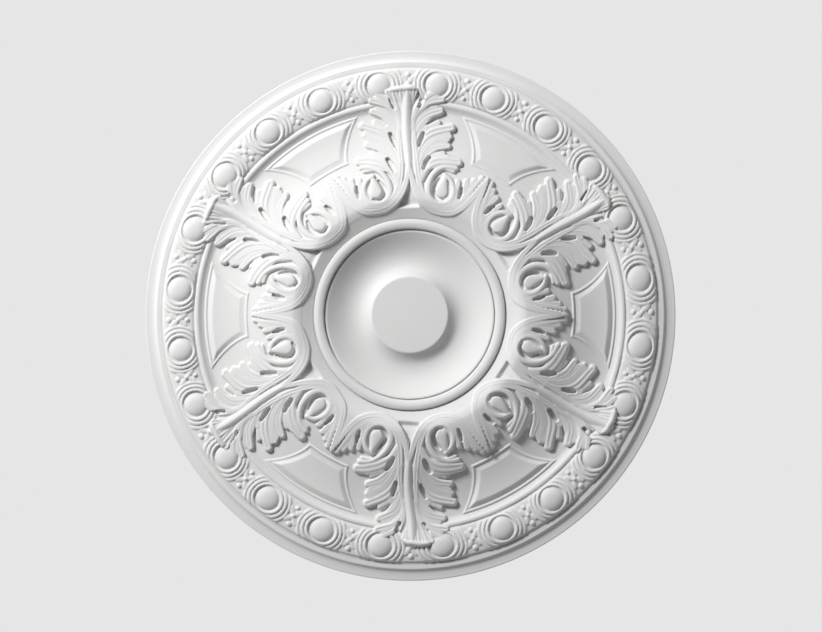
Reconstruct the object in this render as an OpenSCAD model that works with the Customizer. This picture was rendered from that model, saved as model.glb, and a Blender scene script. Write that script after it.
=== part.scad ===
// Ceiling rose: one round casting with a boss, bead, six scrolled acanthus leaves, six panels
// and an egg-and-dart band. It is modelled face up and turned over, so its flat back is at z = 0.

/* [Overall] */
// Outer diameter of the rose
rose_d = 600; // [480:10:760]
// Height of the plain outer edge
edge_h = 6; // [4:1:10]
// Height of the ring that carries the scrolls
crown_h = 36; // [28:1:42]

/* [Middle] */
// Diameter of the flat boss, where a light fitting goes
boss_d = 85; // [60:1:105]
// Height of the boss
boss_h = 23; // [18:1:28]
// Diameter of the lowest ring of the bowl
bowl_d = 129; // [118:1:145]
// Height of the bowl at its lowest
bowl_h = 16; // [10:1:18]
// Diameter of the bowl's lip
lip_d = 190; // [170:1:196]
// Height of the bowl's lip
lip_h = 26; // [20:1:30]
// Outer diameter of the quarter-round bead
bead_d = 221; // [208:1:226]
// Height of the bead
bead_h = 33; // [27:1:38]
// Diameter of the crown, the highest ring of the ground
crown_d = 260; // [248:1:270]

/* [Rim and egg band] */
// Width of the hollowed outer rim
rim_w = 13; // [8:1:20]
// Width of the flat between the rim and the egg band
flat_w = 6; // [3:1:9]
// Height of that flat
flat_h = 9.5; // [8:0.5:9.5]
// Width of the band that carries the eggs
band_w = 38; // [32:1:46]
// Height of the egg band's floor
band_h = 10; // [9:1:12]
// Width of the fillet inside the egg band
fillet_w = 4; // [2:1:8]
// Height of that fillet
fillet_h = 13; // [12:1:16]
// Width of the hollow moulding between the fillet and the field
cove_w = 9; // [6:1:14]
// Height of the field at its lowest
field_h = 8; // [5:1:9]
// Diameter of an egg
egg_d = 27; // [20:1:29]
// Height of an egg above the floor of its band
egg_rise = 7; // [4:1:9]
// Thickness of the cup round an egg
cup_t = 3; // [2:0.5:4]
// Height of that cup above the floor of the band
cup_rise = 3.5; // [2:0.5:5]
// Diameter of a pearl at the end of a dart
pearl_d = 7; // [5:0.5:8]
// Height of a dart
dart_rise = 3; // [2:0.5:5]

/* [Leaves] */
// Half the spread of a leaf across its widest lobes
leaf_half_w = 60; // [50:1:66]
// Radius at which a leaf's stems part
fork_r = 155; // [146:1:162]
// Reach of a leaf's tip past the inner edge of the egg band
tip_reach = 19; // [12:1:26]
// Height of a leaf above the ground
leaf_rise = 5; // [2:0.5:7]
// Height of a lobe's vein above the ground
vein_rise = 7.5; // [3:0.5:9]
// Height of the midrib above the ground
midrib_rise = 9; // [5:0.5:11]
// Width of the midrib
midrib_w = 12; // [8:1:16]
// Height of a scroll's stem above the ground
stem_rise = 8; // [4:0.5:10]
// Width of a scroll's stem
stem_w = 8; // [6:0.5:10]
// Diameter of a scroll's eye
eye_d = 19; // [14:1:22]

/* [Panels] */
// Width of a panel's raised border
border_w = 8; // [5:1:12]
// Height of the border above the field
border_rise = 3; // [2:0.5:5]
// Height of the panel's middle above the field
panel_rise = 1.5; // [1:0.5:3]

/* [Hidden] */
$fn = 48;
plaster = "whitesmoke";
leaves = 6;
sector = 360 / leaves;
eggs = 24;
egg_pitch = 360 / eggs;
rose_r = rose_d / 2;
rim_r = rose_r - rim_w;
band_r1 = rim_r - flat_w;
band_r0 = band_r1 - band_w;
band_r = (band_r0 + band_r1) / 2;
fillet_r = band_r0 - fillet_w;
cove_r = fillet_r - cove_w;
crown_r = crown_d / 2;
bead_r = bead_d / 2;
lip_r = lip_d / 2;
leaf_tip_r = band_r0 + tip_reach;
leaf_l = leaf_tip_r - fork_r;
leaf_tip_h = band_h + egg_rise + 1;
eye_sink = 5;
// Radius and rise of the round that eases a boss or lip into the bowl
ease = 4;
// Width of the small sunk line on either side of the bead
quirk_w = 1.5;
quirk_h = 1.5;
// Drop from the top of the bead to the ground outside it
bead_drop = 2.5;
// Width and fall of the flat tops of the crown, the bead and the lip
crest_w = 1;
crest_fall = 0.1;
bead_top_w = 2;
lip_top_w = 2;
lip_fall = 0.5;
// Share by which the leaves and stems are shallower where they lie on the crown
crown_share = 0.5;
turn_steps = 4;
field_steps = 5;
stroke_steps = 4;
tip_steps = 3;
// Width of a vein as a share of its toe
vein_share = 0.4;
arc_steps = 4;
// Depth to which the eggs, cups and darts are let into the floor of their band
let_in = 1;
// Gap between an egg and its cup
cup_gap = 1;
pearl_gap = band_w / 2;
// Inner edge of the panels, and half their angle at the inner and at the outer edge
panel_r0 = 184;
panel_a0 = 7.4;
panel_a1 = 14;
panel_lap = 2;
panel_flare = 0.6;
degrees = 180 / PI;
// How far the limits of the relief reach in past the crown and out past the leaves' tips
limit_in = 18;
limit_out = 8;
limit_fall = 2;
limit_lap = 4;
limit_foot = 1;
// Tops of the tools that cut relief are above everything
over = 80;

// Share of the way from the foot of the field, 0, up to the crown, 1
function way_up(r) = min(1, max(0, (cove_r - r) / (cove_r - crown_r)));

// Height of the ground of the field, level at its foot and at the crown and steep between them
function ground_h(r) =
    let (s = way_up(r))
    field_h + (crown_h - field_h) * s * s * (3 - 2 * s);

// Height of relief of a given rise above that ground
function relief_h(r, rise) = ground_h(r) + rise * (1 - crown_share * way_up(r));

// Points on a quarter ellipse from [r0, h0] to [r1, h1], level at its first end or at its second
function quarter(r0, h0, r1, h1, level_first = true) = [
    for (i = [1 : turn_steps])
        let (a = 90 * i / turn_steps)
        level_first ? [r0 + (r1 - r0) * sin(a), h1 + (h0 - h1) * cos(a)]
                    : [r1 + (r0 - r1) * cos(a), h0 + (h1 - h0) * sin(a)]
];

// Ground from an outer radius in to an inner one, raised by relief of a given rise
function field_line(r0, r1, rise, n = field_steps) = [
    for (i = [1 : n])
        let (r = r0 + (r1 - r0) * i / n)
        [r, relief_h(r, rise)]
];

// Catmull-Rom point on a chain of control points, at u from 0 to the number of spans
function chain_point(p, u) =
    let (
        last = len(p) - 1,
        i = min(floor(u), last - 1),
        t = u - i,
        a = i > 0 ? p[i - 1] : 2 * p[0] - p[1],
        b = p[i],
        c = p[i + 1],
        d = i + 2 <= last ? p[i + 2] : 2 * p[last] - p[last - 1]
    )
    0.5 * (2 * b + (c - a) * t + (2 * a - 5 * b + 4 * c - d) * t * t + (3 * b - a - 3 * c + d) * t * t * t);

function unit(v) = v / norm(v);
function left_of(v) = [-v[1], v[0]];

// Outline of a curved stroke that tapers from half-width w0 to half-width w1 and has a round tip
function stroke(p, w0, w1, steps = stroke_steps) =
    let (
        spans = len(p) - 1,
        n = steps * spans / 2,
        at = [for (i = [0 : n]) chain_point(p, spans * i / n)],
        way = [for (i = [0 : n]) unit(at[min(i + 1, n)] - at[max(i - 1, 0)])],
        w = [for (i = [0 : n]) w0 + (w1 - w0) * i / n],
        a0 = atan2(way[n][1], way[n][0])
    )
    concat(
        [for (i = [0 : n]) at[i] - w[i] * left_of(way[i])],
        [for (k = [1 : tip_steps - 1])
            let (a = a0 - 90 + 180 * k / tip_steps) at[n] + w1 * [cos(a), sin(a)]],
        [for (i = [n : -1 : 0]) at[i] + w[i] * left_of(way[i])]
    );

// A place on the leaf: share of its half spread across, share of its length along
function on_leaf(p) = [p[0] * leaf_half_w, fork_r + p[1] * leaf_l];

// Lobes on one side, each a list of toes: way points, half-width at the root and at the tip.
// The first toe of a lobe carries its vein.
LOBES = [
    [
        [[[0.10, -0.04], [0.45, 0.20], [0.97, 0.14]], 8, 5],
        [[[0.10, -0.04], [0.42, 0.12], [0.86, 0.06]], 8, 4]
    ],
    [
        [[[0.05, 0.10], [0.38, 0.42], [0.82, 0.53]], 8, 4.5],
        [[[0.05, 0.10], [0.40, 0.34], [0.82, 0.40]], 8, 4.5],
        [[[0.06, 0.08], [0.40, 0.24], [0.78, 0.27]], 8, 4.5]
    ],
    [
        [[[0.03, 0.20], [0.14, 0.42], [0.32, 0.53]], 6, 4.5]
    ],
    [
        [[[0.03, 0.40], [0.24, 0.62], [0.60, 0.70]], 7, 4.5]
    ],
    [
        [[[0.03, 0.62], [0.22, 0.78], [0.58, 0.83]], 7, 4.5]
    ]
];

// The midrib, from the fork to the tip
MIDRIB = [
    [0, fork_r - 4],
    [0, fork_r + leaf_l / 2],
    [0, leaf_tip_r - 3]
];

// One side of the blunt end of a leaf, which laps over the egg band
BLUNT_END = [
    [0, leaf_tip_r - 34],
    [8, leaf_tip_r - 14],
    [16, leaf_tip_r - 6]
];
blunt_w = 12;

// One side's stem: from the fork, round the eye, and out to the cusp between two leaves
eye_at = [34, fork_r - 19];
cusp_r = fork_r + 20;
cusp_at = [cusp_r * sin(sector / 2), cusp_r * cos(sector / 2)];
STEM = [
    [1, fork_r + 6],
    [9, fork_r - 16],
    eye_at + [-16, -12],
    eye_at + [0, -19],
    eye_at + [19, -17],
    cusp_at - [22, 24],
    cusp_at - [11, 11],
    cusp_at
];

module turned(line) {
    rotate_extrude() polygon(line);
}

// Boss, bowl, bead, crown, field, cove, egg band and rim, turned as one
module ground() {
    turned(concat(
        [[0, 0], [rose_r, 0], [rose_r, edge_h]],
        quarter(rose_r, edge_h, rim_r, flat_h, true),
        [[band_r1, flat_h], [band_r1, band_h]],
        [[band_r0, band_h], [band_r0, fillet_h], [fillet_r, fillet_h]],
        quarter(fillet_r, fillet_h, cove_r, field_h, false),
        field_line(cove_r, crown_r, 0),
        quarter(crown_r - crest_w, crown_h - crest_fall, bead_r + quirk_w, bead_h - bead_drop, true),
        [[bead_r, bead_h - bead_drop], [bead_r, bead_h]],
        quarter(bead_r - bead_top_w, bead_h, lip_r + quirk_w, lip_h - quirk_h, true),
        [[lip_r, lip_h - quirk_h], [lip_r, lip_h]],
        quarter(lip_r - lip_top_w, lip_h - lip_fall, bowl_d / 2, bowl_h, false),
        quarter(bowl_d / 2 - crest_w, bowl_h, boss_d / 2 + ease, boss_h - ease, true),
        [[boss_d / 2, boss_h], [0, boss_h]]
    ));
}

// What lies within the given height above the ground, out to the leaf's tip in the egg band
module under(rise, tip_h) {
    turned(concat(
        [[crown_r - limit_in, limit_foot], [leaf_tip_r + limit_out, limit_foot]],
        [[leaf_tip_r + limit_out, tip_h], [band_r0 - limit_fall, tip_h]],
        field_line(fillet_r - limit_lap, crown_r, rise),
        [[crown_r - limit_in, relief_h(crown_r, rise) - limit_fall]]
    ));
}

module round_leaves() {
    for (k = [0 : leaves - 1])
        rotate(-k * sector)
            children();
}

module both_sides() {
    children();
    mirror([1, 0, 0]) children();
}

// Flat outline of one toe, at full width or thinned down to its vein
module toe(t, share) {
    polygon(stroke([for (p = t[0]) on_leaf(p)], t[1] * share, t[2] * share));
}

module lobes() {
    round_leaves()
        both_sides()
            for (lobe = LOBES)
                for (t = lobe)
                    toe(t, 1);
}

module veins() {
    round_leaves()
        both_sides()
            for (lobe = LOBES)
                toe(lobe[0], vein_share);
}

module midribs() {
    round_leaves()
        polygon(stroke(MIDRIB, midrib_w / 2, midrib_w / 3));
}

module tips() {
    round_leaves()
        both_sides()
            polygon(stroke(BLUNT_END, blunt_w / 2, blunt_w / 2));
}

module stems() {
    round_leaves()
        both_sides()
            polygon(stroke(STEM, stem_w / 2, stem_w / 4));
}

module eyes() {
    round_leaves()
        both_sides()
            translate([eye_at[0], eye_at[1], crown_h - eye_sink])
                sphere(d = eye_d);
}

module raised(rise, tip_h) {
    intersection() {
        linear_extrude(over) children();
        under(rise, tip_h);
    }
}

module leaf_work() {
    raised(leaf_rise, leaf_tip_h - 2) lobes();
    raised(vein_rise, leaf_tip_h) veins();
    raised(midrib_rise, leaf_tip_h + 1) midribs();
    raised(leaf_rise, leaf_tip_h) tips();
    raised(stem_rise, leaf_tip_h) stems();
    eyes();
}

// The eggs stand midway between the leaves' axes and the darts
module round_eggs() {
    for (k = [0 : eggs - 1])
        rotate(-(k + 0.5) * egg_pitch)
            translate([0, band_r, band_h])
                children();
}

// Each egg is the cap of a ball, let into the band's floor
module egg() {
    ball_r = ((egg_d / 2) ^ 2 + egg_rise ^ 2) / (2 * egg_rise);
    intersection() {
        translate([0, 0, egg_rise - ball_r]) sphere(ball_r);
        translate([0, 0, -let_in]) cylinder(r = ball_r, h = egg_rise + 2 * let_in);
    }
}

module cup() {
    rotate_extrude()
        polygon([
            [egg_d / 2 + cup_gap, -let_in],
            [egg_d / 2 + cup_gap, cup_rise * 0.6],
            [egg_d / 2 + cup_gap + cup_t / 2, cup_rise],
            [egg_d / 2 + cup_gap + cup_t, -let_in]
        ]);
}

// A dart is two pearls joined by a narrow waist, and stands between two eggs of one panel
module darts() {
    for (k = [0 : eggs - 1])
        if (k % (eggs / leaves) != 0)
            rotate(-k * egg_pitch)
                translate([0, band_r, band_h]) {
                    for (side = [-1, 1])
                        translate([0, side * pearl_gap / 2, 0])
                            sphere(d = pearl_d);
                    translate([-pearl_d / 4, -pearl_gap / 2, -let_in])
                        cube([pearl_d / 2, pearl_gap, dart_rise + let_in]);
                }
}

module egg_work() {
    round_eggs() egg();
    round_eggs() cup();
    darts();
}

// Outline of a panel: arcs at its outer and inner edges, and sides that hollow round the leaves
function panel_outline(inset) =
    let (
        r1 = cove_r + panel_lap - inset,
        r0 = panel_r0 + inset,
        a1 = panel_a1 - inset / r1 * degrees,
        a0 = panel_a0 - inset / r0 * degrees,
        side_at = function (t) [a0 + (a1 - a0) * t ^ panel_flare, r0 + (r1 - r0) * t]
    )
    concat(
        [for (i = [0 : arc_steps]) let (a = a1 - 2 * a1 * i / arc_steps) r1 * [sin(a), cos(a)]],
        [for (i = [arc_steps - 1 : -1 : 0]) let (q = side_at(i / arc_steps)) q[1] * [sin(-q[0]), cos(-q[0])]],
        [for (i = [1 : arc_steps]) let (a = -a0 + 2 * a0 * i / arc_steps) r0 * [sin(a), cos(a)]],
        [for (i = [1 : arc_steps - 1]) let (q = side_at(i / arc_steps)) q[1] * [sin(q[0]), cos(q[0])]]
    );

module panels(inset) {
    for (k = [0 : leaves - 1])
        rotate(-(k + 0.5) * sector)
            polygon(panel_outline(inset));
}

module panel_work() {
    raised(border_rise, leaf_tip_h)
        difference() {
            panels(0);
            panels(border_w);
        }
    raised(panel_rise, leaf_tip_h) panels(border_w / 2);
}

module ceiling_rose() {
    union() {
        ground();
        panel_work();
        leaf_work();
        egg_work();
    }
}

rotate([180, 0, 0])
        color(plaster)
            ceiling_rose();
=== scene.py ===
from math import ceil, cos, pi, radians, sin

import bpy
import numpy as np
from mathutils import Matrix, Vector


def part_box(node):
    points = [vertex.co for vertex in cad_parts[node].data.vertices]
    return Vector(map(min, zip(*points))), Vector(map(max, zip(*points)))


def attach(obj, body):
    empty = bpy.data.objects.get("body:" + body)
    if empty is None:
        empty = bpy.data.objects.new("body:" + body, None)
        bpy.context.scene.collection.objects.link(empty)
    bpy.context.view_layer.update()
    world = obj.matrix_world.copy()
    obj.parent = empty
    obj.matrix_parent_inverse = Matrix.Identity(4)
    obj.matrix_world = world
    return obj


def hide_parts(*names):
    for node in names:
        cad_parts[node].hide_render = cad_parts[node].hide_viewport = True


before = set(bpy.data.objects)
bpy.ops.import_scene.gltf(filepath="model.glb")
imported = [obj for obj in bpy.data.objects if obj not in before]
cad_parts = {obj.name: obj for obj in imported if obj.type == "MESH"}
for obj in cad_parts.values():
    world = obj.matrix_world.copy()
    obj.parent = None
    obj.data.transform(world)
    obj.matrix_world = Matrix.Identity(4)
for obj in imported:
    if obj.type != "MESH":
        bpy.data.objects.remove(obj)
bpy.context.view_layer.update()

# ---- The turned middle: boss, bowl, lip and bead --------------------------------------------------
# The rose is one casting in white gypsum plaster. Its model was a disc of clay, swept round with a
# zinc template, so the boss, the bowl round it, the lip and the bead are all rings about one centre.
PATTERN_R = 300.0
rose_low, rose_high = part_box("ceiling_rose")
PATTERN = (rose_high[0] - rose_low[0]) / 2 / PATTERN_R
FULL_TURN = 2 * pi

LEAVES_FROM = 108.2
FIELD_FROM = 131.0
FIELD_END = 231.0
FIELD_LOW = 8.0
CROWN_TOP = 37.8
# Radius, height, and how the template runs to that point from the one before.
TEMPLATE = [
    (0.0, 23.0, "straight"),
    (42.6, 23.0, "straight"),
    (44.6, 21.0, "falling"),
    (61.0, 12.8, "dished"),
    (93.4, 27.2, "falling"),
    (95.1, 27.2, "straight"),
    (95.6, 25.0, "straight"),
    (97.4, 30.6, "straight"),
    (103.0, 32.4, "easing"),
    (107.3, 31.2, "falling"),
    (LEAVES_FROM, 27.6, "straight"),
    (109.4, 29.4, "straight"),
    (123.0, 36.2, "straight"),
    (FIELD_FROM, CROWN_TOP, "easing"),
    (FIELD_END, FIELD_LOW, "thrown"),
]
DISH_DEPTH = 2.2
THROW_EARLY = 0.8


def eased(value):
    """Value from 0 to 1 with a soft start and a soft end, and held at 0 and 1 outside."""
    share = np.clip(value, 0, 1)
    return share * share * (3 - 2 * share)


SWEEPS = {
    "straight": lambda share: share,
    "falling": lambda share: 1 - np.cos(share * pi / 2),
    "easing": lambda share: np.sin(share * pi / 2),
    "dished": lambda share: 1 - (1 - share) ** DISH_DEPTH,
    "thrown": lambda share: eased(share ** THROW_EARLY),
}


def swept(r):
    """Height of the middle and of the sunk field at radius r, without any carving."""
    out = np.full(r.shape, TEMPLATE[0][1])
    for (r0, h0, _), (r1, h1, sweep) in zip(TEMPLATE, TEMPLATE[1:]):
        share = (r - r0) / (r1 - r0)
        out = np.where(r >= r0, h0 + (h1 - h0) * SWEEPS[sweep](np.clip(share, 0, 1)), out)
    return out


class Shade:
    """One socket of a shader, so that the maths of a finish reads as maths."""

    tree = None

    def __init__(self, socket):
        self.socket = socket

    @classmethod
    def node(cls, kind, settings=None, sockets=None, out=0):
        made = cls.tree.nodes.new(kind)
        for name, value in (settings or {}).items():
            setattr(made, name, value)
        for name, value in (sockets or {}).items():
            if isinstance(value, Shade):
                cls.tree.links.new(value.socket, made.inputs[name])
            else:
                made.inputs[name].default_value = value
        return cls(made.outputs[out])

    def maths(self, operation, first, second):
        return Shade.node("ShaderNodeMath", {"operation": operation}, {0: first, 1: second})

    def __add__(self, other):
        return self.maths("ADD", self, other)

    def __mul__(self, other):
        return self.maths("MULTIPLY", self, other)

    __radd__ = __add__
    __rmul__ = __mul__


GRAIN_ROUGHNESS = 0.6
CLOUD_SIZE, CLOUD_DETAIL = 0.09, 3.0
SAND_SIZE, SAND_DETAIL = 0.0022, 4.0
PIT_SIZE, PIT_DETAIL = 0.0009, 2.0
PLASTER_DIM, PLASTER_PALE = (0.78, 0.78, 0.775, 1), (0.86, 0.86, 0.855, 1)
TONE_CLOUDS, TONE_SAND = 0.6, 0.4
# Painted shade: the plaster's colour is darkened toward this grey in its grooves and hollows, where shade
# falls.
PAINTED_SHADE_COLOUR = (0.52, 0.515, 0.50, 1)
SHADE_CLOUDED, SHADE_EVEN = 0.5, 0.35
BUMP_SAND, BUMP_PITS, BUMP_STRENGTH, BUMP_DEPTH = 0.7, 0.3, 0.35, 0.0004
ROUGH_SAND, ROUGH_EVEN = 0.2, 0.72
PLASTER_SPECULAR = 0.25


def cast_plaster():
    """White casting plaster: a faint clouding, a fine sanded grain, and painted shade that darkens its deep
    cuts.
    """
    finish = bpy.data.materials.new("casting_plaster")
    finish.use_nodes = True
    Shade.tree = finish.node_tree
    place = Shade.node("ShaderNodeTexCoord", out="Object")

    def grain(size, detail):
        return Shade.node("ShaderNodeTexNoise", None,
                          {"Vector": place, "Scale": 1 / size,
                           "Detail": detail, "Roughness": GRAIN_ROUGHNESS})

    def mixed(factor, first, second):
        return Shade.node("ShaderNodeMix", {"data_type": "RGBA"},
                          {"Factor": factor, 6: first, 7: second}, out=2)

    clouds = grain(CLOUD_SIZE, CLOUD_DETAIL)
    sanded = grain(SAND_SIZE, SAND_DETAIL)
    pits = grain(PIT_SIZE, PIT_DETAIL)
    # The mask of painted shade that each piece carries, high in its grooves and hollows.
    shade_mask = Shade.node("ShaderNodeAttribute", {"attribute_name": "hollow"}, out="Fac")
    tone = mixed(clouds * TONE_CLOUDS + sanded * TONE_SAND, PLASTER_DIM, PLASTER_PALE)
    shaded_tone = mixed(shade_mask * (clouds * SHADE_CLOUDED + SHADE_EVEN), tone, PAINTED_SHADE_COLOUR)
    bumped = Shade.node("ShaderNodeBump", None,
                        {"Strength": BUMP_STRENGTH, "Distance": BUMP_DEPTH,
                         "Height": sanded * BUMP_SAND + pits * BUMP_PITS})
    shader = finish.node_tree.nodes["Principled BSDF"]
    shader.inputs["Specular IOR Level"].default_value = PLASTER_SPECULAR
    rough = sanded * ROUGH_SAND + ROUGH_EVEN
    for name, value in (("Base Color", shaded_tone), ("Roughness", rough), ("Normal", bumped)):
        finish.node_tree.links.new(value.socket, shader.inputs[name])
    return finish


plaster = cast_plaster()


def stood(name, data):
    """An object of the scene that shows the given mesh, lamp or camera."""
    thing = bpy.data.objects.new(name, data)
    bpy.context.scene.collection.objects.link(thing)
    return thing


def cast(name, x, y, height, hollow, closed, capped=False):
    """One closed solid: a relief over a grid of rings (rows) and spokes, with walls and a flat back."""
    rings, spokes = x.shape
    top = np.stack([x, -y, -height], axis=-1).reshape(-1, 3)
    back = np.stack([x[[0, -1]], -y[[0, -1]], np.zeros((2, spokes))], axis=-1).reshape(-1, 3)
    across = np.arange(spokes if closed else spokes - 1)
    beside = (across + 1) % spokes
    low = rings * spokes
    high, outer = low + spokes, low - spokes
    ring = np.arange(rings - 1)[:, None] * spokes
    wider = ring + spokes
    relief_face = np.stack([ring + across, wider + across, wider + beside, ring + beside], -1).reshape(-1, 4)
    inner_wall = np.stack([beside, low + beside, low + across, across], -1)
    outer_wall = np.stack([outer + across, high + across, high + beside, outer + beside], -1)
    flat_back = np.stack([low + across, low + beside, high + beside, high + across], -1)
    sides = [outer_wall, flat_back] if capped else [inner_wall, outer_wall, flat_back]
    quads = np.concatenate([relief_face] + sides)
    faces = [list(map(int, quad)) for quad in quads[:, ::-1]]
    if capped:
        faces.append(list(range(spokes - 1, -1, -1)))
        faces.append(list(range(low, high)))
    if not closed:
        first = list(range(0, low, spokes))
        last = [start + spokes - 1 for start in first]
        faces.append([low] + first + [high])
        faces.append([high + spokes - 1] + last[::-1] + [low + spokes - 1])
    mesh = bpy.data.meshes.new(name)
    mesh.from_pydata((np.concatenate([top, back]) * PATTERN).tolist(), [], faces)
    mesh.polygons.foreach_set("use_smooth", np.arange(len(faces)) < len(relief_face))
    border = np.ones(len(top) + len(back), bool)
    inside = border[:len(top)].reshape(rings, spokes)
    inside[1:-1, slice(None) if closed else slice(1, -1)] = False
    ends = np.zeros(2 * len(mesh.edges), int)
    mesh.edges.foreach_get("vertices", ends)
    sharp = mesh.attributes.new("sharp_edge", "BOOLEAN", "EDGE")
    sharp.data.foreach_set("value", border[ends].reshape(-1, 2).all(axis=1))
    shade = mesh.attributes.new("hollow", "FLOAT", "POINT")
    shade.data.foreach_set("value", np.concatenate([hollow.ravel(), np.zeros(2 * spokes)]))
    mesh.materials.append(plaster)
    mesh.validate()
    piece = stood(name, mesh)
    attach(piece, "root")
    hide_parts("ceiling_rose")


MIDDLE_STEP = 1.1
MIDDLE_SPOKES = 240
QUIRKS = [(95.8, 0.9), (LEAVES_FROM, 1.1)]


def ring_grid(radii, spokes):
    """Places on round rings, a row for each radius, in the pattern's own units."""
    turns = np.arange(spokes)[None, :] / spokes * FULL_TURN
    return radii[:, None] * np.sin(turns), radii[:, None] * np.cos(turns)


def template_radii(r1):
    """Radii of rings that meet every corner of the template, out to r1."""
    radii = [MIDDLE_STEP / 2]
    for corner in [r for r, _, _ in TEMPLATE if 0 < r <= r1]:
        steps = max(2, ceil((corner - radii[-1]) / MIDDLE_STEP))
        radii += list(np.linspace(radii[-1], corner, steps + 1)[1:])
    return np.array(radii)


x, y = ring_grid(template_radii(LEAVES_FROM), MIDDLE_SPOKES)
reach = np.hypot(x, y)
# Painted shade: the plaster is darkened in rings along the two quirks, where shade falls.
in_quirks = sum(np.exp(-((reach - at) / width) ** 2) for at, width in QUIRKS)
cast("rose_middle", x, y, swept(reach), in_quirks, closed=True, capped=True)

# ---- The six double leaves and the sunk field -----------------------------------------------------
# Each leaf is acanthus, modelled by hand and cast in the same plaster: a midrib forks into two stems that
# roll up in scrolls, and the blade on each side is cut into lobes with blunt toes. Between two leaves lies
# a panel in a thin frame.
LEAF_COUNT = 6
LEAF_TURN = FULL_TURN / LEAF_COUNT
LEAF_EDGE = LEAF_TURN / 2
LEAVES_END = 243.8
DEPTH_SPARE = 0.15
HEIGHT_LIMIT = -rose_low[2] / PATTERN - DEPTH_SPARE
HAND_SEED = 24
rng = np.random.default_rng(HAND_SEED)


def flowing(points, steps=8):
    """Points along a smooth line through the given ones."""
    knots = np.array(points, float)
    knots = np.vstack([2 * knots[0] - knots[1], knots, 2 * knots[-1] - knots[-2]])
    share = np.linspace(0, 1, steps, endpoint=False)[:, None]
    spans = []
    for a, b, c, d in zip(knots, knots[1:], knots[2:], knots[3:]):
        bend = (2 * a - 5 * b + 4 * c - d) * share ** 2 + (3 * b - a - 3 * c + d) * share ** 3
        spans.append((2 * b + (c - a) * share + bend) / 2)
    return np.vstack(spans + [knots[-2:-1]])


def spread(values, share):
    """The value at a share of the way along evenly spaced ones."""
    return np.interp(share, np.linspace(0, 1, len(values)), values)


class Clay:
    """Strips of clay laid on the field and pressed down, and the cuts of the drill."""

    DRAFT = 0.8
    GROOVE_WIDTH, GROOVE_START = 0.33, 3
    DRILL_WALL = 0.6

    def __init__(self, x, y):
        self.x, self.y = x, y
        self.height = np.zeros(x.shape)

    def near(self, line, reach):
        """Places within reach of a line, how far each lies from it, and the share of the way along."""
        low, high = line.min(0) - reach, line.max(0) + reach
        at = np.nonzero((self.x > low[0]) & (self.x < high[0]) & (self.y > low[1]) & (self.y < high[1]))
        x, y = self.x[at], self.y[at]
        away, along = np.full(x.shape, np.inf), np.zeros(x.shape)
        steps = np.diff(line, axis=0)
        lengths = np.hypot(steps[:, 0], steps[:, 1])
        starts = np.concatenate([[0], np.cumsum(lengths)])
        for (px, py), (dx, dy), length, start in zip(line, steps, lengths, starts):
            share = np.clip(((x - px) * dx + (y - py) * dy) / length ** 2, 0, 1)
            gap = np.hypot(x - px - share * dx, y - py - share * dy)
            closer = gap < away
            away[closer] = gap[closer]
            along[closer] = start + share[closer] * length
        return at, away, along / starts[-1]

    def lay(self, points, widths, heights, groove=0.0, edge=0.5, round_off=2.2):
        """A strip with a rounded back. Widths are half widths, and edge is the share that is wall."""
        at, away, along = self.near(flowing(points), max(widths) + self.DRAFT)
        if not len(away):
            return
        width, height = spread(widths, along), spread(heights, along)
        across = np.clip(away / width, 0, 1)
        back = edge + (1 - edge) * np.sqrt(1 - across ** round_off)
        back -= groove * np.exp(-(across / self.GROOVE_WIDTH) ** 2) * eased(along * self.GROOVE_START)
        wall = edge * (1 + (width - away) / self.DRAFT)
        made = height * np.where(away < width, back, wall)
        self.height[at] = np.maximum(self.height[at], np.where(away < width + self.DRAFT, made, 0))

    def drill(self, points, widths, depths):
        """A cut with sloping sides and a rounded floor, as deep as depths."""
        at, away, along = self.near(flowing(points), max(widths) + self.DRAFT)
        if not len(away):
            return
        width = spread(widths, along)
        inside = np.clip((width + self.DRAFT - away) / self.DRAFT, 0, 1)
        rounded = np.sqrt(1 - np.clip(away / width, 0, 1) ** 2)
        bowl = self.DRILL_WALL + (1 - self.DRILL_WALL) * rounded
        self.height[at] -= spread(depths, along) * eased(inside) * bowl


# Strips and cuts on one half of a leaf: points (across, out), half widths, then heights or depths. Those of
# LOBES and CURLED_END end with the depth of a groove.
MIDRIB = [
    ([(0, 155), (0, 185), (0, 215), (0, 240), (0, 257)],
     [3.6, 5.6, 6.4, 6.6, 6.6], [7.4, 8.4, 9.2, 10.2, 12.2]),
]
MIDRIB_EDGE, MIDRIB_ROUND = 0.42, 1.35
STEMS = [
    ([(0, 168), (1.6, 160), (4.2, 148), (8.5, 136), (15, 125), (24.5, 117), (35, 113.2), (46, 113), (56, 117),
      (64, 123.4), (72, 132.2), (80, 142.6), (88, 152.4)],
     [2.0, 2.8, 3.2, 3.3, 3.3, 3.2, 3.0, 3.0, 3.0, 3.0, 2.9, 2.6, 1.9],
     [7.4, 7.4, 7.2, 7.2, 7.2, 7.2, 7.2, 7.2, 7.2, 7.2, 7.0, 6.8, 6.4]),
    ([(7.6, 226), (8.4, 205), (8.6, 188), (8.8, 172), (9.6, 158), (12, 143), (17.4, 130.4), (26, 122.4),
      (36, 119), (46.5, 119.2), (56, 123.6), (64, 131), (71.5, 141), (79.5, 151.5)],
     [1.8, 2.4, 2.8, 3.0, 3.1, 3.1, 3.0, 2.8, 2.7, 2.7, 2.6, 2.4, 2.1, 1.5],
     [6.4, 6.8, 7.0, 7.2, 7.2, 7.0, 6.8, 6.6, 6.4, 6.4, 6.4, 6.2, 5.8, 4.8]),
]
STEM_EDGE, STEM_GROOVE, STEM_ROUND = 0.78, 0.10, 3.0
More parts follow.
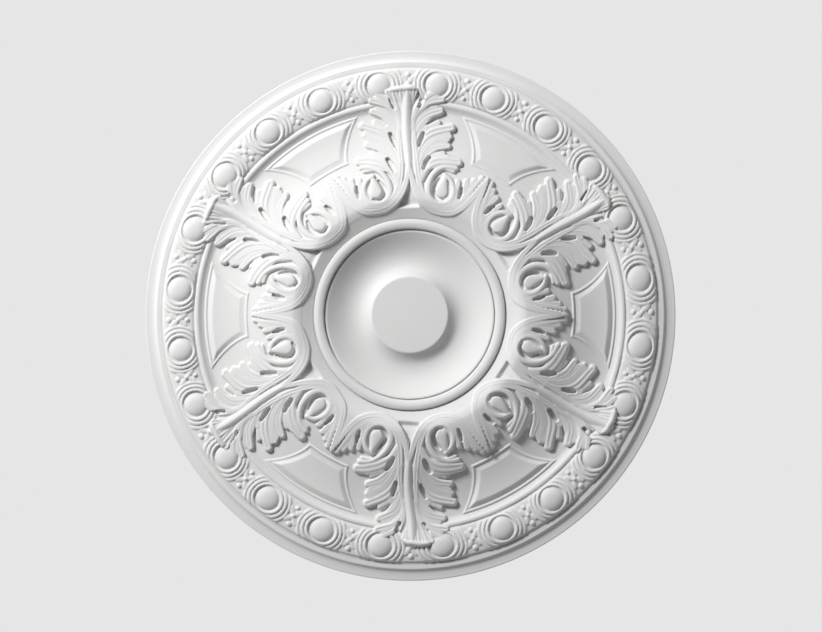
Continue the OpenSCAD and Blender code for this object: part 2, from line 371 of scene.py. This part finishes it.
BLADE = [
    ([(2, 160), (8, 184), (9, 210), (7, 238)], [6, 10, 9, 9], [4.8, 5.4, 5.4, 5.8]),
    ([(13, 152), (20, 165), (32, 171), (44, 172)], [4.0, 6.0, 8.4, 7.2], [5.4, 5.7, 5.6, 5.0]),
    ([(9, 170), (16, 187), (28, 198.5), (38, 202)], [5.0, 9.0, 12.0, 11.6], [5.6, 5.8, 5.5, 4.9]),
    ([(7, 196), (12, 213), (21, 225), (29, 230)], [4.0, 6.6, 7.8, 7.2], [5.6, 6.0, 5.9, 5.4]),
    ([(6, 214), (11, 230), (21, 240.6), (30, 244.6)], [4.0, 6.0, 7.0, 6.6], [5.6, 6.6, 7.8, 8.2]),
    ([(50, 128), (62, 138), (74, 149)], [5.0, 7.0, 4.0], [4.6, 4.4, 4.2]),
    # the web between the stems of two leaves
    ([(60, 104), (65, 112.6), (70, 121.2), (75, 130), (80, 138.6), (88, 152.4)],
     [17, 11.4, 7.6, 5.0, 3.0, 0.6], [0.0, 3.2, 5.8, 6.3, 6.3, 6.0]),
]
BLADE_EDGE = 0.85
LOBES = [
    # the broad tongue over the scroll, with a small toe on either side
    ([(12.5, 150), (18.5, 162.5), (31, 170), (46, 172), (57, 171.5)], [3.8, 5.4, 6.4, 6.4, 4.8],
     [6.6, 7.0, 6.8, 6.2, 5.2], 0.26),
    ([(30, 166), (41, 163.6), (51, 160.5)], [3.6, 3.2, 2.5], [5.4, 4.8, 4.0], 0.0),
    ([(19, 168), (29, 177), (40.5, 180.5)], [3.6, 4.2, 3.2], [5.8, 5.2, 4.4], 0.12),
    # the widest lobe: three toes one over the other and a short one above
    ([(13, 163), (20, 177), (31, 186.5), (46, 190)], [4.4, 5.0, 4.9, 3.8], [6.4, 6.2, 5.8, 5.0], 0.22),
    ([(10, 166), (17, 183), (29, 195), (48, 201)], [4.4, 4.6, 4.2, 3.2], [6.6, 6.4, 5.8, 5.0], 0.14),
    ([(8, 171), (13, 190), (26, 204), (49.5, 211.5)], [4.4, 5.0, 5.6, 4.6], [7.0, 7.0, 6.6, 5.6], 0.30),
    ([(14, 197), (23, 209), (35, 216)], [3.8, 4.2, 3.2], [5.8, 5.4, 4.6], 0.10),
    ([(8.5, 184), (12.5, 197), (22, 210.5)], [3.6, 4.6, 4.2], [6.6, 6.6, 5.8], 0.16),
    # two narrower lobes that lean out more and more
    ([(7, 194), (10.5, 210), (20, 222.5), (37, 229)], [3.8, 4.6, 4.9, 4.0], [6.8, 6.8, 6.6, 6.0], 0.26),
    ([(8, 206), (13, 221), (21, 230), (31, 235)], [3.6, 4.2, 4.0, 3.2], [6.4, 6.4, 6.2, 5.6], 0.10),
    ([(6, 210), (9.5, 226), (20, 237), (39, 241.5)], [3.8, 4.4, 4.8, 4.2], [7.0, 7.8, 8.6, 9.0], 0.26),
    ([(6, 218), (11, 233), (20.5, 244), (33, 250)], [3.6, 4.2, 4.2, 3.6], [7.2, 8.4, 9.4, 9.6], 0.14),
]
LOBE_EDGE, LOBE_GROOVE, LOBE_ROUND = 0.50, 0.55, 2.0
CURLED_END = [
    ([(2, 226), (4, 241), (6, 255)], [4.0, 4.4, 4.4], [7.0, 8.4, 12.6], 0.12),
    ([(5, 227), (10, 242), (14.5, 255)], [3.8, 4.2, 4.2], [7.0, 8.2, 12.4], 0.14),
    ([(8, 231), (15, 245), (21.5, 253)], [3.4, 3.8, 3.8], [6.8, 8.2, 11.4], 0.14),
    ([(0, 256.6), (9, 256.8), (18, 255.4)], [3.4, 3.4, 3.0], [13.4, 13.4, 12.4], 0.0),
]
END_EDGE, END_SQUEEZE = 0.62, 2.1
SCROLL = [
    ([(54, 164.4), (43, 164.8), (33, 160.8), (25, 152.4), (20.8, 141), (22.4, 130), (30, 123.2), (40, 123),
      (47.6, 129.6), (50, 139.6), (47.4, 149), (41, 155)],
     [3.2, 3.3, 3.2, 3.1, 3.1, 3.0, 2.8, 2.7, 2.7, 2.8, 2.8, 2.3],
     [5.0, 5.6, 6.2, 6.6, 6.8, 6.8, 6.6, 6.4, 6.2, 6.2, 6.2, 6.0]),
    ([(36.0, 136.4), (38.4, 144.4), (41, 152)], [7.0, 5.0, 2.6], [7.2, 6.8, 5.8]),
]
SCROLL_EDGE = 0.4
INNER_TOES = [
    ([(44, 121.4), (50.4, 129.4), (54.2, 139), (55.5, 149)], [2.4, 2.9, 3.1, 2.9], [6.2, 5.8, 5.4, 5.0]),
    ([(50, 122), (58, 131), (62.5, 140.4), (65, 150)], [2.6, 3.1, 3.3, 3.1], [6.2, 5.8, 5.4, 5.0]),
    ([(57, 126.5), (65, 135), (70.4, 143.4), (74, 151.5)], [2.6, 3.0, 3.2, 3.0], [6.0, 5.6, 5.2, 4.8]),
    ([(66, 136), (74.4, 145), (82, 154)], [2.4, 2.7, 2.7], [5.4, 5.0, 4.8]),
]
TOE_EDGE, TOE_GROOVE = 0.5, 0.16
EYE_PITS = [
    ([(34.0, 150), (28.4, 143.0), (27.0, 135.6), (31.6, 128.4), (38.0, 127.6)], [1.3, 2.5, 2.9, 2.1, 1.2],
     [3.0, 5.0, 6.0, 4.6, 3.0]),
    ([(58.8, 143), (57.4, 136.4), (55.6, 130)], [1.4, 2.4, 1.4], [3.0, 4.6, 3.0]),
]
DRILLED = [
    ([(13.6, 191), (16.4, 198), (18.6, 204)], [1.9, 2.6, 2.0], [6.4, 8.0, 6.0]),
    ([(17, 163), (20.4, 169.6), (24, 175)], [2.1, 3.0, 2.3], [6.0, 8.0, 6.0]),
    ([(13.8, 235), (16.8, 242.4), (18.6, 248)], [1.7, 2.3, 1.8], [6.0, 8.0, 6.0]),
    ([(58.8, 142), (57.8, 136.4), (56.2, 131)], [1.4, 2.0, 1.4], [4.4, 6.0, 4.4]),
]
CROWN_SHARE, CROWN_FADE = 0.30, 46


def leaf_relief(side, out):
    """Rise of the leaf over the field. side is the way across from its midrib, out that from the centre.
    The curled end leans to one side, and all of it lies lower where it crosses the crown."""
    end = Clay(np.where(side > 0, side * END_SQUEEZE, -side), out)
    for points, widths, heights, groove in CURLED_END:
        end.lay(points, widths, heights, groove, END_EDGE)
    clay = Clay(np.abs(side), out)
    for points, widths, heights in BLADE:
        clay.lay(points, widths, heights, edge=BLADE_EDGE)
    for points, widths, heights, groove in LOBES:
        clay.lay(points, widths, heights, groove * LOBE_GROOVE, LOBE_EDGE, LOBE_ROUND)
    for points, widths, heights in SCROLL:
        clay.lay(points, widths, heights, edge=SCROLL_EDGE)
    for points, widths, heights in INNER_TOES:
        clay.lay(points, widths, heights, TOE_GROOVE, TOE_EDGE)
    for points, widths, depths in DRILLED + EYE_PITS:
        clay.drill(points, widths, depths)
    for points, widths, heights in STEMS:
        clay.lay(points, widths, heights, STEM_GROOVE, STEM_EDGE, STEM_ROUND)
    for points, widths, heights in MIDRIB:
        clay.lay(points, widths, heights, edge=MIDRIB_EDGE, round_off=MIDRIB_ROUND)
    lowered = CROWN_SHARE + (1 - CROWN_SHARE) * eased((np.hypot(side, out) - FIELD_FROM) / CROWN_FADE)
    return np.maximum(np.maximum(clay.height, end.height), 0) * lowered


FORK_POINT, FORK_SLOPE, FORK_WALL, FORK_DEPTH = 153, 0.40, 1.6, 5.4
FORK_FROM, FORK_RAMP = 119, 6
FORK_RISES, FORK_RISE_LENGTH, FORK_RISE = 126, 26, 0.8


def sinkings(side, out):
    """The pits beside the scroll's eye, and the three-cornered one in the fork of the stems."""
    inside = eased(((FORK_POINT - out) * FORK_SLOPE - side) / FORK_WALL)
    ramp = eased((out - FORK_FROM) / FORK_RAMP)
    shallower = 1 - FORK_RISE * eased((out - FORK_RISES) / FORK_RISE_LENGTH)
    pits = Clay(side, out)
    for points, widths, depths in EYE_PITS:
        pits.drill(points, widths, depths)
    return -pits.height + FORK_DEPTH * inside * ramp * shallower


PANEL_IN, PANEL_OUT = 184.0, 232.0
PANEL_MIDDLE, PANEL_REACH = (PANEL_IN + PANEL_OUT) / 2, 27
PANEL_NARROW, PANEL_WIDE, PANEL_CURVE = radians(7.7), radians(15.0), 1.5
PANEL_LEAN = 0.07
PANEL_STEPS = [-0.9, 0.0, 0.8, 1.8, 2.8, 8.6, 9.4]
PANEL_RISES = [0.0, 1.2, 1.6, 1.3, 0.3, 3.0, 3.1]


def panel_rise(r, turn):
    """Frame, channel and raised middle of a panel, told from the distance to its outline."""
    share = np.clip((r - PANEL_IN) / (PANEL_OUT - PANEL_IN), 0, 1)
    half = PANEL_NARROW + (PANEL_WIDE - PANEL_NARROW) * share ** PANEL_CURVE
    inside = np.minimum((half - np.abs(turn)) * r, np.minimum(PANEL_OUT - r, r - PANEL_IN))
    leaning = PANEL_LEAN * (r - PANEL_MIDDLE) * eased(inside / PANEL_STEPS[-1])
    return np.interp(inside, PANEL_STEPS, PANEL_RISES) + leaning


FILLET_R = [FIELD_END, 233, 236, 238.6, 240.0, 242.0, 243.0, LEAVES_END]
FILLET_H = [FIELD_LOW, 8.3, 9.8, 12.2, 13.0, 13.0, 12.4, 11.4]
waver = rng.uniform(0, FULL_TURN, (LEAF_COUNT, 4))
WAVER = 1.3
WAVER_LENGTH, WAVER_SLANT, WAVER_FROM = 17, 40, 150
RIPPLE_LENGTH, RIPPLE_CROSS, RIPPLE_UP, RIPPLE_SHARE = 13, 21, 15, 0.6
HOLD_FROM, HOLD_FADE = 0.6, 0.35
SWAY, SWAY_FROM, SWAY_LENGTH = -3.0, 160, 110


def leaf_part(number, r, turn):
    """Rise and sinking of leaf number at radius r and turn radians from its midrib. Each leaf is drawn a
    little differently by hand, but not at its borders, where hold falls to 0."""
    side, out = r * np.sin(turn), r * np.cos(turn)
    hold = 1 - eased((np.abs(turn) - HOLD_FROM * LEAF_EDGE) / (HOLD_FADE * LEAF_EDGE))
    a, b, c, d = waver[number]
    at_foot = WAVER * sin(WAVER_FROM / WAVER_LENGTH + a)
    drawn = side + hold * (WAVER * np.sin(out / WAVER_LENGTH + a + side / WAVER_SLANT) - at_foot)
    drawn = drawn - hold * SWAY * eased((out - SWAY_FROM) / SWAY_LENGTH)
    crossed = RIPPLE_SHARE * np.sin(out / RIPPLE_UP + c) * np.sin(side / RIPPLE_CROSS + d)
    risen = out + hold * WAVER * (np.sin(side / RIPPLE_LENGTH + b) - sin(b) + crossed)
    return leaf_relief(drawn, risen), sinkings(np.abs(drawn), risen)


def nearest_leaf(angle):
    """Number of the leaf whose midrib is nearest, and the turn from that midrib."""
    number = np.floor(angle / LEAF_TURN + 0.5).astype(int)
    return number % LEAF_COUNT, angle - number * LEAF_TURN


def leaves_height(r, angle):
    """Height of everything between the bead and the egg band."""
    number, turn = nearest_leaf(angle)
    field = swept(r)
    base = np.where(r < FIELD_END, field, np.interp(r, FILLET_R, FILLET_H))
    from_panel = (angle % LEAF_TURN) - LEAF_EDGE
    base = base + np.where(np.abs(r - PANEL_MIDDLE) < PANEL_REACH, panel_rise(r, from_panel), 0)
    rise = np.zeros(r.shape)
    for leaf in range(LEAF_COUNT):
        on = number == leaf
        if on.any():
            rise[on], sunk = leaf_part(leaf, r[on], turn[on])
            base[on] -= sunk
    ground = np.where(r < FIELD_END, field, FIELD_LOW)
    return np.minimum(np.where(rise > 0, np.maximum(base, ground + rise), base), HEIGHT_LIMIT)


SHADE_DEPTH = 5.0


def shut_in(height, reach_cells):
    """How far each place lies below its surroundings, 0 to 1, for the painted shade in the hollows."""
    around = height
    span = 2 * reach_cells + 1
    for axis in (0, 1):
        margins = [(reach_cells, reach_cells) if side == axis else (0, 0) for side in (0, 1)]
        sums = np.cumsum(np.pad(around, margins, mode="edge"), axis=axis)
        sums = np.concatenate([np.zeros_like(np.take(sums, [0], axis)), sums], axis=axis)
        count = height.shape[axis]
        ahead = np.take(sums, np.arange(span, span + count), axis)
        around = (ahead - np.take(sums, np.arange(count), axis)) / span
    return np.clip((around - height) / SHADE_DEPTH, 0, 1)


LEAF_RINGS = 250
LEAF_SPOKES = 233
LEAF_SHADE_CELLS = 7
EVENLY_SPACED = 0.75
spoke_share = np.linspace(-1, 1, LEAF_SPOKES)
leaf_turns = LEAF_EDGE * (EVENLY_SPACED * spoke_share + (1 - EVENLY_SPACED) * spoke_share ** 3)
# Two leaves meet on one spoke. Its height is taken a hair before it for both, so that they fit edge to edge.
A_HAIR_BEFORE = 0.9999999

for leaf in range(LEAF_COUNT):
    radii = np.linspace(LEAVES_FROM, LEAVES_END, LEAF_RINGS)[:, None] + np.zeros(LEAF_SPOKES)
    angles = leaf * LEAF_TURN + leaf_turns[None, :] + np.zeros((LEAF_RINGS, 1))
    relief = leaves_height(radii, angles * A_HAIR_BEFORE)
    # The last mask is painted shade: the plaster's colour darkened where the relief lies below its
    # surroundings.
    cast(f"rose_leaf_{leaf + 1}", radii * np.sin(angles), radii * np.cos(angles), relief,
         shut_in(relief, LEAF_SHADE_CELLS), closed=False)

# ---- The egg and dart band ------------------------------------------------------------------------
# A band of 24 eggs, each in a cup of three rings. Between two cups stands a dart: crossed arms with a pearl
# at their middle, and one above and below. The eggs were pressed from one mould and set on the model by
# eye, so their spacing drifts a little, and the band is cast in plaster with the rest.
EGG_COUNT = 24
EGG_STEP = FULL_TURN / EGG_COUNT
BAND_R, BAND_END = 262.0, 281.0
BED_LOW, BED_CROWN, BED_HALF, BED_SQUARE = 10.6, 3.6, 19, 2.4
EGG_R, EGG_WIDER = 13.2, 0.93
EGG_FOOT, EGG_RISE, EGG_FULL = 12.4, 6.4, 1.15
EGG_DRIFT = [-0.8, -1.5, -1.2, -1.6, -2.2, -1.5, 0.3, 0.2, 0.0, -0.1, -1.0, -0.4,
             0.0, -0.3, 0.5, -0.4, 0.0, -1.3, -1.1, -0.7, -0.4, -0.2, 0.0, -0.1]
# Each ring of a cup: where it starts and ends, and its rise at both.
CUPS = [(14.5, 17.8, 3.1, 2.7), (18.6, 22.4, 2.8, 2.1), (23.2, 26.6, 2.0, 1.2)]
CUP_BED, GAP_BED = 0.6, -1.6
CUP_WALL, CUP_CREST, CUP_SUNK = 0.5, 0.5, 0.2
# Each pearl: its radius from the centre of the rose, its own radius, and the height of its foot.
PEARLS = [(272.2, 3.6, 12.2), (252.2, 3.3, 12.2), (BAND_R, 3.0, 13.6)]
PEARL_RISE = 3.6
ARM_WAY, ARM_WIDE, ARM_LONG, ARM_FADE = radians(40), 3.4, 12.5, 2
ARM_TIP, ARM_SWELL = 0.55, 0.45
ARM_SUNK, ARM_RISE = 0.4, 1.9


def dome(share):
    """Height of a half ball at a share of the way from its middle to its edge."""
    return np.sqrt(np.clip(1 - share ** 2, 0, 1))


def band_relief(along, r):
    """Height of one cell. along is the way round from the middle of the dart, in pattern units."""
    from_middle = np.clip(np.abs(r - BAND_R) / BED_HALF, 0, 1)
    hump = np.sqrt(np.clip(1 - from_middle ** BED_SQUARE, 0, 1))
    bed = BED_LOW + BED_CROWN * hump
    from_egg = np.hypot((np.abs(along) - BAND_R * EGG_STEP / 2) * EGG_WIDER, r - BAND_R)
    out = bed + np.where(from_egg < CUPS[1][1], CUP_BED, GAP_BED) * hump
    for inner, outer, rise_in, rise_out in reversed(CUPS):
        lip = eased(from_egg - inner + CUP_WALL) * eased(outer + CUP_WALL - from_egg)
        crest_r, crest_rise = (inner + outer) / 2, (rise_in + rise_out) / 2 + CUP_CREST
        crest = np.interp(from_egg, [inner, crest_r, outer], [rise_in, crest_rise, rise_out])
        out = np.maximum(out, bed - CUP_SUNK * hump + lip * crest * hump)
    egg = EGG_FOOT + EGG_RISE * dome((from_egg / EGG_R) ** EGG_FULL)
    out = np.where(from_egg < EGG_R, np.maximum(egg, bed), out)
    for at, size, foot in PEARLS:
        away = np.hypot(along, r - at) / size
        out = np.where(away < 1, np.maximum(out, foot + PEARL_RISE * dome(away)), out)
    side, out_way = np.abs(along), np.abs(r - BAND_R)
    reach = side * sin(ARM_WAY) + out_way * cos(ARM_WAY)
    beside = side * cos(ARM_WAY) - out_way * sin(ARM_WAY)
    wide = ARM_WIDE * (ARM_TIP + ARM_SWELL * np.sin(np.clip(reach / ARM_LONG, 0, 1) * pi))
    arm = dome(beside / wide) * eased((ARM_LONG - reach) / ARM_FADE)
    return np.where(arm > 0, np.maximum(out, bed - ARM_SUNK + ARM_RISE * arm * hump), out)


RIM_TOP = 10.2
BORDER_FADE, BORDER_FLAT = 3.0, 0.4
TOES_END = 268


def band_height(r, angle):
    """Height of the whole band with the leaf ends over it, level with its neighbours at both borders."""
    cells = (np.arange(EGG_COUNT) + 0.5) * EGG_STEP
    drift = np.radians(np.interp(angle % FULL_TURN, cells, EGG_DRIFT, period=FULL_TURN))
    cell = (angle - drift + EGG_STEP / 2) % EGG_STEP - EGG_STEP / 2
    base = band_relief(cell * BAND_R, r)
    base = FILLET_H[-1] + (base - FILLET_H[-1]) * eased((r - LEAVES_END) / BORDER_FADE)
    base = RIM_TOP + (base - RIM_TOP) * eased((BAND_END - BORDER_FLAT - r) / BORDER_FADE)
    number, turn = nearest_leaf(angle)
    rise = np.zeros(r.shape)
    for leaf in range(LEAF_COUNT):
        on = (number == leaf) & (np.abs(turn) < LEAF_EDGE / 2) & (r < TOES_END)
        if on.any():
            rise[on] = leaf_part(leaf, r[on], turn[on])[0]
    return np.where(rise > 0, np.maximum(base, FIELD_LOW + rise), base)


BAND_RINGS = 50
BAND_SPOKES = 1776
BAND_SHADE_CELLS = 5
x, y = ring_grid(np.linspace(LEAVES_END, BAND_END, BAND_RINGS), BAND_SPOKES)
relief = band_height(np.hypot(x, y), np.arctan2(x, y))
# The band carries painted shade too: its colour is darkened where the relief lies below its surroundings.
cast("rose_egg_band", x, y, relief, shut_in(relief, BAND_SHADE_CELLS), closed=True)

# ---- The rim --------------------------------------------------------------------------------------
# The edge of the plaster casting: a flat, a quick fall and a gentle slope out to the thin edge at the
# ceiling. It was run with the same template as the middle, and it is flat behind, for adhesive and screws.
RIM_R = [BAND_END, 286.4, 287.2, 289.6, 292.4, 296.0, 299.3, PATTERN_R]
RIM_H = [RIM_TOP, RIM_TOP, 9.7, 7.3, 6.4, 6.0, 5.9, 5.3]
RIM_RINGS = 40
RIM_SPOKES = 540
RIM_SHADE_WIDTH = 1.0
x, y = ring_grid(np.linspace(BAND_END, PATTERN_R, RIM_RINGS), RIM_SPOKES)
reach = np.hypot(x, y)
# Painted shade: the rim's colour is darkened in a narrow ring at the foot of the band's step.
by_band = np.exp(-((reach - BAND_END) / RIM_SHADE_WIDTH) ** 2)
cast("rose_rim", x, y, np.interp(reach, RIM_R, RIM_H), by_band, closed=True)

# ---- The studio -----------------------------------------------------------------------------------
# The rose hangs face down over a pale floor. One broad soft lamp lights its face from low on one side, and
# the room, pale all round and dark only toward the floor, fills the rest.
FLOOR_DROP = 4.6
FLOOR_HALF = 150.0
FLOOR_COLOUR, FLOOR_ROUGHNESS = (0.66, 0.66, 0.66, 1), 0.9
floor_mesh = bpy.data.meshes.new("floor")
floor_corners = [(side * FLOOR_HALF, back * FLOOR_HALF, -FLOOR_DROP)
                 for side, back in ((-1, -1), (1, -1), (1, 1), (-1, 1))]
floor_mesh.from_pydata(floor_corners, [], [(0, 1, 2, 3)])
floor = stood("floor", floor_mesh)
floor.visible_diffuse = False
floor_finish = bpy.data.materials.new("floor_paint")
floor_finish.use_nodes = True
floor_shader = floor_finish.node_tree.nodes["Principled BSDF"]
floor_shader.inputs["Base Color"].default_value = FLOOR_COLOUR
floor_shader.inputs["Roughness"].default_value = FLOOR_ROUGHNESS
floor_mesh.materials.append(floor_finish)

ROOM_DARK, ROOM_PALE = (0.10, 0.10, 0.10, 1), (0.79, 0.79, 0.79, 1)
ROOM_DARK_BELOW, ROOM_PALE_ABOVE = -0.34, -0.10
room = bpy.data.worlds.new("room")
room.use_nodes = True
bpy.context.scene.world = room
Shade.tree = room.node_tree
way = Shade.node("ShaderNodeTexCoord", out="Generated")
upward = Shade.node("ShaderNodeSeparateXYZ", None, {"Vector": way}, out="Z")
wall = Shade.node("ShaderNodeMapRange", None,
                  {"Value": upward, "From Min": ROOM_DARK_BELOW, "From Max": ROOM_PALE_ABOVE})
paint = Shade.node("ShaderNodeMix", {"data_type": "RGBA"},
                   {"Factor": wall, 6: ROOM_DARK, 7: ROOM_PALE}, out=2)
room.node_tree.links.new(paint.socket, room.node_tree.nodes["Background"].inputs["Color"])
bpy.context.scene.view_settings.view_transform = "Standard"

VIEW_CENTRE = (1.07, 0.9, -6.0)
centre = Vector([part * PATTERN for part in VIEW_CENTRE])


def face_up(side, up, out):
    """A way given as seen from below (side, up, toward the floor) in the frame's own axes."""
    return Vector((side, -up, -out))


def aimed(thing, where):
    """Stands a lamp or the camera at a place, looking at the rose, with the pattern's top upward."""
    back = (where - centre).normalized()
    right = face_up(0, 1, 0).cross(back).normalized()
    turn = Matrix((right, back.cross(right), back)).transposed()
    thing.matrix_world = Matrix.Translation(where) @ turn.to_4x4()


KEY_TURN, KEY_RISE, KEY_AWAY, KEY_SIZE, KEY_WATTS = radians(-45), radians(39), 2.6, 0.6, 68.5
key = bpy.data.lights.new("key_lamp", "AREA")
key.shape = "DISK"
key.size = KEY_SIZE
key.energy = KEY_WATTS
toward_key = face_up(sin(KEY_TURN) * cos(KEY_RISE), cos(KEY_TURN) * cos(KEY_RISE), sin(KEY_RISE))
aimed(stood("key_lamp", key), centre + toward_key * KEY_AWAY)

LENS, SENSOR, VIEW_SHARE = 160.0, 36.0, 0.6451
TILT, TILT_WAY = radians(2.2), radians(145)
away = (rose_high[0] - rose_low[0]) / VIEW_SHARE / 2 / (SENSOR / 2 / LENS)
camera = bpy.data.cameras.new("camera")
camera.lens, camera.sensor_width = LENS, SENSOR
viewer = stood("camera", camera)
bpy.context.scene.camera = viewer
toward_eye = face_up(sin(TILT) * sin(TILT_WAY), sin(TILT) * cos(TILT_WAY), cos(TILT))
aimed(viewer, centre + toward_eye * away)
